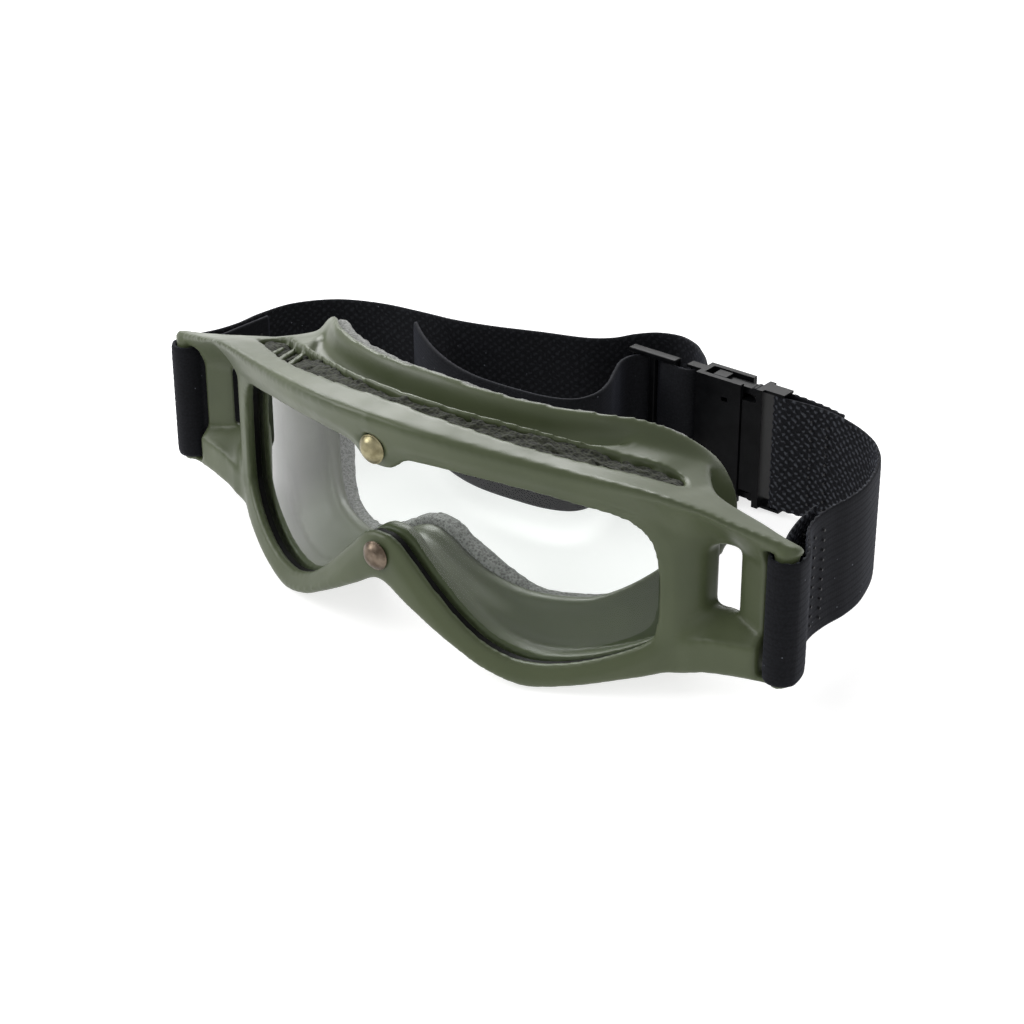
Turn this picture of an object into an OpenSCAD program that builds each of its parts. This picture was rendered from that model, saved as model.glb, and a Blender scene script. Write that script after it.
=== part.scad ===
// Protective goggles: a soft one-piece moulded frame, a clear curved lens held by two
// snap fasteners, a foam-filled top vent, a face foam, and an elastic head strap in two
// lengths joined by a side-release buckle, with a slider that takes up the spare strap.
// +X is the wearer's left, -Y the front and +Z up. The goggles stand as they do on a
// table, on both cheek lobes and on the lower edge of the strap behind.
//
// All shapes are drawn upright, with y = 0 at the strap posts and z = 0 at the lower
// arms; stand() then leans the whole object back onto the table.

/* [Frame] */
// Overall width across the tips of the two arms
frame_w = 235; // [233:1:237]
// Radius of the front face seen from above
front_r = 130; // [129:0.5:131]
// Radius of the face side seen from above
face_r = 94; // [93:0.5:95]
// Front to back on the centre line
centre_depth = 26; // [25:0.5:27]
// Thickness of the lip in front of the lens
lip_t = 3.4; // [3.2:0.1:3.6]
// Thickness of the moulded walls
wall = 3; // [2.8:0.1:3.2]
// Thickness of the flange that carries the face foam
flange_t = 2.6; // [2.2:0.1:3]
// Thickness of the face foam
foam_t = 4; // [3:0.5:5]
// Width of the vent slot along the brow
vent_w = 7.4; // [7:0.1:7.6]

/* [Lens] */
// Thickness of the lens
lens_t = 2; // [1.8:0.1:2.2]
// Thickness of the rubber seal in front of the lens
seal_t = 2.4; // [2.2:0.1:2.5]
// Height of the upper snap above the lower arms
upper_snap_z = 52.6; // [52:0.1:53]
// Height of the lower snap above the lower arms
lower_snap_z = 18.8; // [18.6:0.1:19]
// Diameter of the domed snap caps
cap_d = 8.8; // [8:0.1:9]

/* [Strap] */
// Width of the elastic webbing
strap_w = 38; // [37:0.5:38]
// Thickness of the elastic webbing
strap_t = 1.6; // [1.4:0.1:1.7]
// Height of the strap's lower edge above the lower arms
strap_z = 2.85; // [2.8:0.05:3]

/* [Buckle] */
// Length of the buckle's socket
socket_l = 22; // [21.5:0.5:22.5]
// Thickness of the buckle
buckle_t = 9; // [8.8:0.1:9.2]
// How far the buckle stands past each edge of the strap
buckle_over = 1.1; // [0.9:0.1:1.2]
// Length of the sprung prongs
prong_l = 12; // [11:0.5:12.5]

/* [Hidden] */
$fn = 96;
fit = 0.1;
reach = 80;
steps = 5;
half_w = frame_w / 2;

// Centres of the round front and of the round face side
front_y = -37;
front_c = front_y + front_r;
face_c = front_y + centre_depth + face_r;

// Radii of the stack at the front: lip, seal, lens, ledge
lip_back = front_r - lip_t;
lens_front = lip_back - seal_t - fit / 2;
lens_back = lens_front - lens_t;
ledge_front = lens_back - fit / 2;
ledge_back = ledge_front - 2.4;

// Outlines seen from the front, right half, from the top centre down to the bottom centre
front_half = [
    [0, 62], [18, 62], [36, 61.8], [52, 59.8], [66, 57.6], [79, 55], [86.5, 50], [88.5, 40],
    [88.5, 20], [87, 4], [80, -3.6], [70, -6.6], [58, -10], [46, -11.8], [35, -9.6],
    [26, -4.2], [18, 1.4], [10, 7.6], [0, 12.7],
];
aperture_half = [
    [0, 46.6], [5, 47.2], [9, 50.2], [14, 51.4], [30, 51.4], [48, 49.8], [60, 47.2],
    [68, 45], [73.4, 41.8], [77.2, 35.2], [78.5, 24], [78.2, 10.4], [75.6, 5], [66, -0.2],
    [55, -3.8], [44, -4.8], [34, -1.6], [26, 4], [18, 11.4], [11.5, 18], [7, 22.6], [3, 24.8], [0, 25],
];
lens_half = [
    [0, 56.4], [8, 56.2], [22, 55.6], [40, 54.4], [56, 52], [69, 48.8], [77.6, 43], [81.4, 34],
    [82.2, 22], [81.4, 9], [77, 1.4], [67, -4], [56, -7.4], [45, -8.4], [35, -5.4],
    [26, 0.4], [18, 7], [10, 13], [4, 15], [0, 15.2],
];
tub_half = [
    [0, 59.4], [20, 59.3], [36, 59], [50, 57.4], [60, 56], [67, 55], [71.4, 53.4], [74, 49],
    [75.4, 42], [76.6, 30], [76.8, 16], [75, 6], [68, -2], [58, -6.4], [46, -8.2],
    [36, -6.4], [27, -1.2], [18, 5], [10, 11], [0, 15],
];
flange_half = [
    [0, 66.5], [20, 66], [41, 64.4], [52, 63.7], [62, 62.3], [68.6, 60.4], [73, 56.8],
    [77, 50], [80, 40.5], [81.2, 30], [81, 18], [79, 6], [70, -3], [58, -6.4],
    [46, -7.4], [36, -5.8], [27, -1], [18, 5], [10, 11], [0, 15],
];
// Top edge of the brow seen from the front, from the centre out to the arm's tip
brow_half = [
    [0, 62.6], [20, 62.6], [36, 62.2], [50, 60.4], [62, 58.2], [74, 56.2], [84, 54],
    [94, 51.4], [104, 48], [112, 45.2], [half_w, 43.8],
];
// Area seen from the front that the ridge's front face fills
ridge_face_half = [[0, 70], [118, 70], [118, 44], [84, 44], [60, 50], [0, 51.5]];
// Brow ridge and back of the arm seen from above
ridge_half = [
    [0, -37], [20, -36.4], [40, -33], [60, -26.6], [80, -18], [98, -9.6], [110, -4],
    [half_w, -1.8],
];
arm_back = [
    [half_w, 4.2], [110, 5.4], [103, 7.6], [96, 11], [90, 15.6], [85.6, 21], [82, 28],
    [80.4, 36],
];
// Back edge of the shelf behind the vent slot
shelf_back = [[0, -23], [20, -20.4], [40, -12.6], [52, -4.6], [62, 6], [68, 17], [71, 40]];
// Centre line of the vent slot seen from above
vent_half = [[0, -27.2], [20, -25.2], [40, -19], [56, -10.8], [67, -3.4], [74.4, 1.2]];
vent_floor_z = 50;
shelf_t = 3.4;
brow_h = 11;
brow_t = 3.6;
rib_w = 1.6;
rib_step = 6;
foam_rim = 2.2;
foam_rim_t = 1.8;

// Arms: window beside the lens housing, foot, strap slot, and the post for the strap
arm_half = [
    [84, 54], [94, 51], [104, 47.6], [112, 45], [half_w - 1, 43.8], [half_w, 42.6],
    [half_w, 2], [half_w - 1, 0.4], [110, -0.4], [100, -1.4], [92, -2], [84, -3.4],
];
arm_plan = [
    [83, -6], [88.5, -1.4], [90.4, 3], [95, 4.4], [101, 2.8], [106, 0.2], [110, -2],
    [116, -2.2], [half_w, 0], [half_w, 2.6], [115, 4.6], [110, 5.4], [103, 7.6], [95, 10],
    [88, 11.6], [83, 12],
];
foot_plan = [
    [83, -8.6], [96, -7.2], [104, -5.2], [111, -3.2], [116, -2.2], [half_w, 0],
    [half_w, 2.6], [110, 4.6], [83, 8],
];
foot_z = 4.6;
window_x = [88.8, 95];
window_z = [16, 35.5];
slot_x = 107;
post = [113.4, 1.1];
post_r = 3.3;
post_z = [strap_z - 0.5, strap_z + strap_w + 0.5];

// Snap fasteners
snap_r = 1.8;
snap_dome_h = 2.4;
snap_flange_r = 2.8;
snap_flange_t = 0.9;
snap_socket_l = 1.2;

// Strap routes seen from above: a stub, round the post, then round the head.
// The round of the post is the same on both sides.
post_turn = [
    [109.7, 3.4], [109, 1.1], [109.7, -1.3], [111.4, -2.8], [113.4, -3.3], [115.6, -2.7],
    [117.2, -1.1], [117.8, 1.1],
];
long_half = concat(
    [[-108.9, 33], [-109.3, 24], [-109.6, 14], [-109.8, 7.4]],
    [for (p = post_turn) [-p[0], p[1]]],
    [
        [-116.4, 7.4], [-113.4, 15], [-112, 23], [-112, 33], [-109.4, 46], [-100.5, 57.4], [-87, 63.8],
        [-72, 66.6], [-59, 68.4], [-46, 72.2], [-31.4, 78], [-17, 83.4], [-10, 89],
        [-6.4, 95.6], [-1.6, 101], [5.5, 103.4], [12.6, 101.4], [18, 97.4], [22.8, 92.8],
        [25.2, 88.6], [24.2, 85], [21.6, 83.4], [18, 83.4], [13, 84.4], [9, 86.5], [5, 84.4],
        [2.4, 80.4], [2.8, 75], [5.8, 68], [9.4, 60], [11, 52], [8.6, 44.6], [1, 40.6],
        [-10, 39], [-24, 38.6], [-36, 41], [-48, 46], [-59, 52.6], [-68, 59.4],
    ]
);
short_half = concat(
    [[103.4, 31], [104.4, 22], [106.6, 13], [109, 7]],
    post_turn,
    [
        [116.6, 6.6], [112.8, 12.6], [109, 18.6], [107.2, 25], [107, 33], [107.9, 42],
        [107, 52], [102.6, 65], [96.5, 73.6], [89.4, 79], [80.5, 83], [71, 85.3],
        [62, 84.9], [57.4, 84.2], [54.6, 84.9], [53.6, 86.6], [54.6, 88.3], [57.4, 89],
        [64, 89.2], [72, 88.3],
        [79, 86.4],
    ]
);
stitch_r = 0.4;
stitch_gap = 3.1;

// Buckle, slider and prongs
buckle_y = 86.5;
socket_x = 21.4;
mouth_x = socket_x + socket_l;
plug_end = 58;
plate_t = 1.8;
bar_d = 2;
buckle_z = [strap_z - buckle_over, strap_z + strap_w + buckle_over];
buckle_h = buckle_z[1] - buckle_z[0];
play = 0.3;
prong_h = 3.4;
prong_t = 4.2;
prong_pivot_r = 1.5;
prong_in = 5;
tongue_h = 9;
slider_x = [0.4, 18.2];
slider_y = 84.6;
slider_t = 3.4;
slider_bar = 2.2;
slider_end = 1.6;

// Lean that brings both cheek lobes and the back of the strap onto the table. The lobes'
// lowest points are those that reach lowest at about that lean.
near_lean = 7;
lobes = [for (p = ring(front_half)) if (p[1] < 0)
    [front_c - sqrt(pow(ledge_back, 2) - pow(p[0], 2)), p[1]]];
reach_down = [for (p = lobes) p[0] * sin(near_lean) - p[1] * cos(near_lean)];
lobe_y = lobes[search(max(reach_down), reach_down)[0]][0];
lobe_z = lobes[search(max(reach_down), reach_down)[0]][1];
strap_back_y = max([for (p = long_path()) p[1]]) + strap_t / 2;
lean = atan((strap_z - lobe_z) / (strap_back_y - lobe_y));
lift = lobe_y * sin(lean) - lobe_z * cos(lean);
box_back = strap_back_y * cos(lean) + (strap_z + strap_w) * sin(lean);
box_front = (front_y - fit - snap_dome_h) * cos(lean) + lower_snap_z * sin(lean);

// Curve through a list of points
function bend(a, b, c, d, t) =
    0.5 * (2 * b + (c - a) * t + (2 * a - 5 * b + 4 * c - d) * t * t
        + (3 * b - a - 3 * c + d) * t * t * t);
function smooth_open(p, n = steps) = concat(
    [for (i = [0:len(p) - 2]) for (k = [0:n - 1])
        bend(p[max(i - 1, 0)], p[i], p[i + 1], p[min(i + 2, len(p) - 1)], k / n)],
    [p[len(p) - 1]]
);
function smooth_ring(p, n = steps) = [
    for (i = [0:len(p) - 1]) for (k = [0:n - 1])
        bend(p[(i + len(p) - 1) % len(p)], p[i], p[(i + 1) % len(p)], p[(i + 2) % len(p)],
            k / n)
];
// A half outline joined to its mirror image, as a ring or as a line from left to right
function ring(half) = smooth_ring(concat(
    half, [for (i = [len(half) - 2:-1:1]) [-half[i][0], half[i][1]]]
));
function line(half) = smooth_open(concat(
    [for (i = [len(half) - 1:-1:1]) [-half[i][0], half[i][1]]], half
));
// Unit normal on the left of a line or ring at one of its points
function left_of(d) = [-d[1], d[0]] / norm(d);
function line_normal(p, i) = left_of(p[min(i + 1, len(p) - 1)] - p[max(i - 1, 0)]);
function ring_normal(p, i) = left_of(p[(i + 1) % len(p)] - p[(i + len(p) - 1) % len(p)]);
// A ring moved inwards (its points run clockwise), and a line widened to a ribbon
function inset(p, d) = [for (i = [0:len(p) - 1]) p[i] - ring_normal(p, i) * d];
function ribbon(p, w) = concat(
    [for (i = [0:len(p) - 1]) p[i] + line_normal(p, i) * w / 2],
    [for (i = [len(p) - 1:-1:0]) p[i] - line_normal(p, i) * w / 2]
);
function reversed(p) = [for (i = [len(p) - 1:-1:0]) p[i]];
// A band under the brow line, from high to low below it
function brow_band(high, low) = concat(
    [for (p = line(brow_half)) p - [0, high]],
    reversed([for (p = line(brow_half)) p - [0, low]])
);
function long_path() = smooth_open(long_half);
function short_path() = smooth_open(short_half);

module stand() {
    translate([0, -(box_back + box_front) / 2, lift]) rotate([-lean, 0, 0]) children();
}
module both_sides() {
    children();
    mirror([1, 0, 0]) children();
}
// An outline seen from the front, as deep as y0 to y1
module front_prism(outline, y0 = -reach, y1 = reach) {
    translate([0, y1, 0]) rotate([90, 0, 0]) linear_extrude(y1 - y0) polygon(outline);
}
// An outline seen from above
module plan_prism(outline, z0 = -reach, z1 = reach) {
    translate([0, 0, z0]) linear_extrude(z1 - z0) polygon(outline);
}
module box(x, y, z) {
    translate([x[0], y[0], z[0]]) cube([x[1] - x[0], y[1] - y[0], z[1] - z[0]]);
}
// Upright drum about the centre of a round face
module drum(r, y) {
    translate([0, y, -reach]) cylinder(h = 2 * reach, r = r, $fn = 180);
}
// The layer between two radii of the front
module front_layer(outer, inner) {
    difference() {
        drum(outer, front_c);
        drum(inner, front_c);
        box([-2 * reach, 2 * reach], [30, 3 * reach], [-2 * reach, 2 * reach]);
    }
}
// The layer between two radii of the face side
module face_layer(outer, inner) {
    difference() {
        drum(outer, face_c);
        drum(inner, face_c);
        box([-2 * reach, 2 * reach], [45, 3 * reach], [-2 * reach, 2 * reach]);
    }
}
// A round bar along Y on the centre line
module snap_bar(r, z, y0, y1) {
    translate([0, y1, z]) rotate([90, 0, 0]) cylinder(h = y1 - y0, r = r, $fn = 48);
}

module lens_housing() {
    intersection() {
        front_prism(ring(front_half));
        front_layer(front_r, ledge_back);
    }
}
// What the lens and the view through it take out of the frame
module lens_room() {
    intersection() {
        front_prism(ring(aperture_half));
        front_layer(front_r + 12, ledge_back - 1);
    }
    intersection() {
        front_prism(inset(ring(lens_half), -2 * fit));
        front_layer(lip_back, ledge_front);
    }
    intersection() {
        front_prism(inset(ring(aperture_half), -1.5));
        front_layer(ledge_front + 1, ledge_back - 1);
    }
}
module tub() {
    difference() {
        front_prism(ring(tub_half), -reach, 45);
        front_prism(inset(ring(tub_half), wall));
        difference() {
            box([-2 * reach, 2 * reach], [-2 * reach, 2 * reach], [-reach, reach]);
            drum(ledge_back + 0.5, front_c);
        }
        drum(face_r, face_c);
    }
}
module flange() {
    difference() {
        intersection() {
            front_prism(ring(flange_half));
            face_layer(face_r + flange_t, face_r);
        }
        front_prism(inset(ring(tub_half), wall));
    }
}
// Brow shelf on top, from the ridge back to the flange, and the ridge's front face
module brow() {
    difference() {
        intersection() {
            front_prism(brow_band(0, shelf_t));
            plan_prism(concat(
                line(ridge_half),
                smooth_open(arm_back),
                reversed(line(shelf_back)),
                reversed(smooth_open([for (p = arm_back) [-p[0], p[1]]]))
            ));
        }
        drum(face_r, face_c);
    }
    intersection() {
        front_prism(brow_band(shelf_t / 2, brow_h));
        plan_prism(ribbon([for (p = line(ridge_half)) p + [0, brow_t / 2]], brow_t));
        front_prism(ring(ridge_face_half));
    }
}
// The slot through the shelf and the tub's roof, and the pocket for the foam's rim
module vent_slot() {
    intersection() {
        vent_outline(vent_w);
        union() {
            front_prism(brow_band(-2, shelf_t + 0.1));
            intersection() {
                drum(ledge_back, front_c);
                box([-reach, reach], [-reach, reach], [vent_floor_z, reach]);
            }
        }
    }
    intersection() {
        front_prism(brow_band(shelf_t, shelf_t + foam_rim_t + 0.2));
        vent_outline(vent_w + 2 * foam_rim + 0.4);
    }
}
module vent_outline(w) {
    plan_prism(ribbon(line(vent_half), w));
    both_sides() translate([vent_half[5][0], vent_half[5][1], -reach])
        cylinder(h = 2 * reach, d = w, $fn = 32);
}
module vent_ribs(gap = 0) {
    path = line(vent_half);
    intersection() {
        front_prism(brow_band(1.2 - gap, shelf_t - 0.6 + gap));
        union() {
            for (i = [rib_step / 2:rib_step:len(path) - 1]) {
                along = line_normal(path, i);
                translate([path[i][0], path[i][1], 0])
                    rotate([0, 0, atan2(along[1], along[0])])
                        translate([-vent_w / 2 - 1 + gap, -rib_w / 2 - gap, 0])
                            cube([vent_w + 2 - 2 * gap, rib_w + 2 * gap, reach]);
            }
        }
    }
}
module arm() {
    difference() {
        intersection() {
            front_prism(arm_half);
            plan_prism(arm_plan);
        }
        box(window_x, [-reach, reach], window_z);
    }
    intersection() {
        front_prism(arm_half);
        plan_prism(foot_plan, -reach, foot_z);
    }
}
module post_room() {
    box([slot_x, 2 * reach], [-reach, reach], post_z);
}
module strap_post() {
    translate([post[0], post[1], post_z[0] - 1])
        cylinder(h = post_z[1] - post_z[0] + 2, r = post_r, $fn = 48);
}

module frame() {
    color("darkolivegreen") stand() {
        difference() {
            union() {
                lens_housing();
                tub();
                flange();
                brow();
                both_sides() arm();
            }
            lens_room();
            vent_slot();
            both_sides() post_room();
            for (z = [upper_snap_z, lower_snap_z]) {
                snap_bar(snap_r + fit, z, front_y - 5, front_y + 14);
                snap_bar(snap_flange_r + 2 * fit, z, front_c - ledge_back, front_y + 15);
            }
        }
        vent_ribs();
        both_sides() strap_post();
    }
}
module lens() {
    color("lightcyan", 0.4) stand() difference() {
        intersection() {
            front_prism(ring(lens_half));
            front_layer(lens_front, lens_back);
        }
        for (z = [upper_snap_z, lower_snap_z])
            snap_bar(snap_r + fit, z, front_y - 5, front_y + 14);
    }
}
module lens_seal() {
    color("black") stand() difference() {
        intersection() {
            front_prism(ring(lens_half));
            front_layer(lip_back - fit / 2, lens_front + fit / 2);
        }
        front_prism(inset(ring(aperture_half), -0.6));
        for (z = [upper_snap_z, lower_snap_z])
            snap_bar(snap_r + 3 * fit, z, front_y - 5, front_y + 14);
    }
}
// Domed cap with the socket that the stud snaps into
module snap_cap(z) {
    base_y = front_y - fit;
    ball_r = (pow(cap_d / 2, 2) + pow(snap_dome_h, 2)) / (2 * snap_dome_h);
    difference() {
        translate([0, base_y - snap_dome_h + ball_r, z]) sphere(r = ball_r, $fn = 64);
        box([-reach, reach], [base_y, reach], [-reach, reach]);
        snap_bar(snap_r + fit / 2, z, base_y - snap_socket_l, base_y + 1);
    }
}
// Stud from behind the ledge, through ledge, lens, seal and lip, into the cap
module snap_stud(z) {
    back_y = front_c - ledge_back + fit;
    snap_bar(snap_r, z, front_y - snap_socket_l, back_y + snap_flange_t);
    snap_bar(snap_flange_r, z, back_y, back_y + snap_flange_t);
}
module vent_foam() {
    color([0.16, 0.17, 0.13]) stand() difference() {
        union() {
            intersection() {
                front_prism(brow_band(1.6, shelf_t + 0.3));
                vent_outline(vent_w - 0.3);
            }
            intersection() {
                front_prism(brow_band(shelf_t + 0.1, shelf_t + 0.1 + foam_rim_t));
                vent_outline(vent_w + 2 * foam_rim);
            }
        }
        vent_ribs(fit);
    }
}
module face_foam() {
    color("gainsboro") stand() difference() {
        intersection() {
            front_prism(inset(ring(flange_half), 0.4));
            face_layer(face_r - fit, face_r - foam_t);
        }
        front_prism(inset(ring(tub_half), wall + 0.4));
    }
}

// Webbing on edge along a route
module webbing(path) {
    plan_prism(ribbon(path, strap_t), strap_z, strap_z + strap_w);
}
// A row of stitches through two layers of webbing, across the route at a place
module stitch_row(place, angle, length, r) {
    count = floor((strap_w - 4) / stitch_gap);
    first = strap_z + (strap_w - (count - 1) * stitch_gap) / 2;
    for (i = [0:count - 1])
        translate([place[0], place[1], first + i * stitch_gap])
            rotate([0, 0, angle]) rotate([0, 90, 0])
                cylinder(h = length, r = r, center = true, $fn = 16);
}
module long_post_stitches(r) {
    for (y = [23, 29]) stitch_row([-110.6, y], 0, 5.2, r);
}
module tail_stitches(r) {
    stitch_row([-60.6, 53.7], 126, 2.4, r);
}
module short_post_stitches(r) {
    stitch_row([106.1, 22.4], 6, 5.6, r);
    stitch_row([105.4, 28], 3, 6, r);
}
module short_plug_stitches(r) {
    for (x = [68, 74]) stitch_row([x, x == 68 ? 87.1 : 86.3], 82, 5.4, r);
}
module long_strap() {
    color([0.09, 0.09, 0.11]) stand() difference() {
        webbing(long_path());
        long_post_stitches(stitch_r + 0.02);
        tail_stitches(stitch_r + 0.02);
    }
}
module short_strap() {
    color([0.1, 0.1, 0.12]) stand() difference() {
        webbing(short_path());
        short_post_stitches(stitch_r + 0.02);
        short_plug_stitches(stitch_r + 0.02);
    }
}

// Three-bar slider: the tail weaves over its middle bar
module slider() {
    z = [strap_z - slider_end - 0.3, strap_z + strap_w + slider_end + 0.3];
    mid = (slider_x[0] + slider_x[1]) / 2;
    color([0.07, 0.07, 0.08]) stand() {
        for (end = [[z[0], z[0] + slider_end], [z[1] - slider_end, z[1]]])
            box(slider_x, [slider_y - slider_t / 2, slider_y + slider_t / 2], end);
        for (x = [mid - slider_bar / 2])
            box([x, x + slider_bar], [slider_y - slider_t / 2, slider_y + 0.4], z);
        box([slider_x[0], slider_x[0] + 0.9], [slider_y + 0.4, slider_y + slider_t / 2], z);
        box([slider_x[1] - 0.9, slider_x[1]], [slider_y + 0.6, slider_y + slider_t / 2], z);
    }
}
// Socket: two plates joined by rails, open at the mouth and at both edges, with a strap bar
module buckle_socket() {
    y0 = buckle_y - buckle_t / 2;
    y1 = buckle_y + buckle_t / 2;
    root_x = socket_x + 7.4;
    color([0.06, 0.06, 0.07]) stand() {
        difference() {
            union() {
                box([root_x - 2, mouth_x], [y0, y0 + plate_t], buckle_z);
                box([root_x - 2, mouth_x], [y1 - plate_t, y1], buckle_z);
                box([root_x - 2, root_x], [y0, y1], buckle_z);
                for (z = [strap_z + strap_w * 0.32, strap_z + strap_w * 0.68])
                    box([root_x - 1, mouth_x - 1], [y0 + 1, y1 - 1], [z - 0.8, z + 0.8]);
            }
            box([mouth_x - 7, mouth_x - 4.8], [y0 - 1, y0 + plate_t + 0.5],
                [strap_z + strap_w - 6, strap_z + strap_w - 4.6]);
        }
        for (end = [[buckle_z[0], strap_z - 0.2], [strap_z + strap_w + 0.2, buckle_z[1]]])
            box([socket_x, root_x - 1], [buckle_y - 1.6, buckle_y + 1.6], end);
        translate([socket_x + bar_d / 2, buckle_y + 0.5, buckle_z[0]])
            cylinder(h = buckle_h, d = bar_d, $fn = 32);
    }
}
// Plug: body with its strap bar, and a guide tongue between the socket's rails
module buckle_plug() {
    y0 = buckle_y - buckle_t / 2 + 0.6;
    y1 = buckle_y + buckle_t / 2 - 0.6;
    root = [mouth_x + play, mouth_x + 4.5];
    mid_z = strap_z + strap_w / 2;
    inner = [buckle_z[0] + prong_h + 1.4, buckle_z[1] - prong_h - 1.4];
    color([0.06, 0.06, 0.07]) stand() {
        box([root[0] + prong_in, root[1] + 3], [y0, y1], buckle_z);
        box([root[0], root[0] + prong_in + 1], [y0, y1], inner);
        for (end = [[buckle_z[0], strap_z - 0.2], [strap_z + strap_w + 0.2, buckle_z[1]]])
            box([root[1] + 2, plug_end], [buckle_y - 2.6, buckle_y + 2.6], end);
        translate([plug_end - 1.9, buckle_y + 0.1, buckle_z[0]])
            cylinder(h = buckle_h, d = bar_d, $fn = 32);
        box([mouth_x - 10, root[0] + 1], [buckle_y - 1.6, buckle_y + 1.6],
            [mid_z - tongue_h / 2, mid_z + tongue_h / 2]);
    }
}
// Sprung prong with its latch shoulder, drawn for the upper edge
module prong(side) {
    mid_z = strap_z + strap_w / 2;
    z1 = buckle_h / 2;
    x = [mouth_x - prong_l, mouth_x + play + prong_in - play];
    translate([0, 0, mid_z]) mirror([0, 0, side < 0 ? 1 : 0]) {
        box(x, [buckle_y - prong_t / 2, buckle_y + prong_t / 2], [z1 - prong_h, z1 - 1.2]);
        box([x[0], x[0] + 5], [buckle_y - prong_t / 2, buckle_y + prong_t / 2],
            [z1 - prong_h, z1 - 0.2]);
        translate([x[1] - prong_pivot_r, buckle_y, z1 - prong_h / 2 - 0.6])
            rotate([90, 0, 0])
                cylinder(h = prong_t, r = prong_pivot_r, center = true, $fn = 32);
    }
}

frame();
lens();
lens_seal();
color("goldenrod") stand() snap_cap(upper_snap_z);  // upper_snap_cap
color("gold") stand() snap_stud(upper_snap_z);  // upper_snap_stud
color("peru") stand() snap_cap(lower_snap_z);  // lower_snap_cap
color("gold") stand() snap_stud(lower_snap_z);  // lower_snap_stud
vent_foam();
face_foam();
long_strap();
color("dimgray") stand() long_post_stitches(stitch_r);  // long_strap_stitching
color("dimgray") stand() tail_stitches(stitch_r);  // tail_stitching
short_strap();
color("dimgray") stand() short_post_stitches(stitch_r);  // short_strap_post_stitching
color("dimgray") stand() short_plug_stitches(stitch_r);  // short_strap_plug_stitching
slider();
buckle_socket();
buckle_plug();
color("black") stand() prong(1);  // upper_prong
color("black") stand() prong(-1);  // lower_prong
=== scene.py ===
"""Protective goggles: soft moulded frame, clear lens, face foam and elastic head strap.

Shapes are worked out upright in millimetres, with y = 0 at the strap posts and z = 0 at the
lower arms, and placed() then leans them back onto the table and gives metres.
"""

import math

import bpy
import numpy as np
from mathutils import Matrix, Vector


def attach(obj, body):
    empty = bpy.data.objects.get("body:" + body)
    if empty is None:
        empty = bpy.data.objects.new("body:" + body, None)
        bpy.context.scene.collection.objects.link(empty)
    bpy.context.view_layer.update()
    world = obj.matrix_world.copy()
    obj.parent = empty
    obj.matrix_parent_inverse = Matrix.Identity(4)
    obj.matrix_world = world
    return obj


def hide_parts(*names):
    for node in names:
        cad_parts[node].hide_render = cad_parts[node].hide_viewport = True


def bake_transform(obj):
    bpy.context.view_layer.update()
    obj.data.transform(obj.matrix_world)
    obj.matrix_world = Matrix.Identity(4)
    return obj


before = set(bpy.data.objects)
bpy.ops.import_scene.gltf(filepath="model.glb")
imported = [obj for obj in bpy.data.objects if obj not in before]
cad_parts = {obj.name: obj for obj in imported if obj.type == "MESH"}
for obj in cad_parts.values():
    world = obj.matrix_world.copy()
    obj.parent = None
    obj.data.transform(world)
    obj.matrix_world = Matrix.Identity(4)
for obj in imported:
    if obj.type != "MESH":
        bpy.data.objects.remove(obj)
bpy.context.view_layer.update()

# ---------------------------------------------------------------- driving dimensions, mm
# How the upright goggles lean back and stand on the table
LEAN = math.radians(6.88338)
LIFT = 9.6588
SHIFT = -35.69
# Grid of the moulding's field, and its smoothing: a step in and a step out, so many times
CELL = 0.9
RELAX = (0.55, -0.57)
RELAX_ROUNDS = 7

# Round front that holds the lens, and round face side: radius and depth of the axis
FRONT_R = 130.0
FRONT_C = 93.0
FACE_R = 96.6
FACE_C = 83.0
# How far the flange stands back at the temples, how its rim curls further back there, and
# how its top rolls back from a height up
TEMPLE_BACK = 1.2
CURL = 2.6
CURL_W = 7.0
BROW_ROLL = 0.018
BROW_ROLL_Z = 54
# Thickness of the lip with its bevel, of the seal and of the lens, and where the ledge ends
LIP = 4.4
BEVEL = 1.8
BEVEL_W = 4.5
SEAL = 1.4
LENS_T = 2.0
LEDGE_BACK = 13.1
LENS_FRONT_R = FRONT_R - LIP - SEAL - 0.05
LENS_ROOM = 0.3
WALL = 3.0
FLANGE_T = 2.8
FOAM_T = 5.6
FOAM_STEP = 1.8
NOSE_PAD = 3.2
SHELF_T = 3.4
HALF_W = 117.5

STRAP_W = 38.0
STRAP_T = 1.6
STRAP_Z = 2.85
STRAP_ROOM = 0.5
# Ribs of the webbing's outside, and knitted loops of its inside: pitch, and height
RIBBING_PITCH = 2.3
RIBBING = 0.04
LOOP = (3.1, 2.7)
LOW_KNIT = 0.06
KNIT = 0.3
POST = (113.4, 1.1)
POST_R = 3.3
POST_Z = (1.2, 43)
SLOT_X = 107.0
WINDOW_X = (88.5, 94.9)
WINDOW_Z = (16.0, 35.5)
WINDOW_FLARE = 2.0
SNAP_Z = (52.6, 18.8)
SNAP_SEAT_R = 4.9


def placed(points):
    """Upright millimetres to the row frame's metres."""
    p = np.asarray(points, float)
    c, s = math.cos(LEAN), math.sin(LEAN)
    y = p[..., 1] * c + p[..., 2] * s + SHIFT
    z = -p[..., 1] * s + p[..., 2] * c + LIFT
    return np.stack([p[..., 0], y, z], -1) / 1000.0


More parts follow.
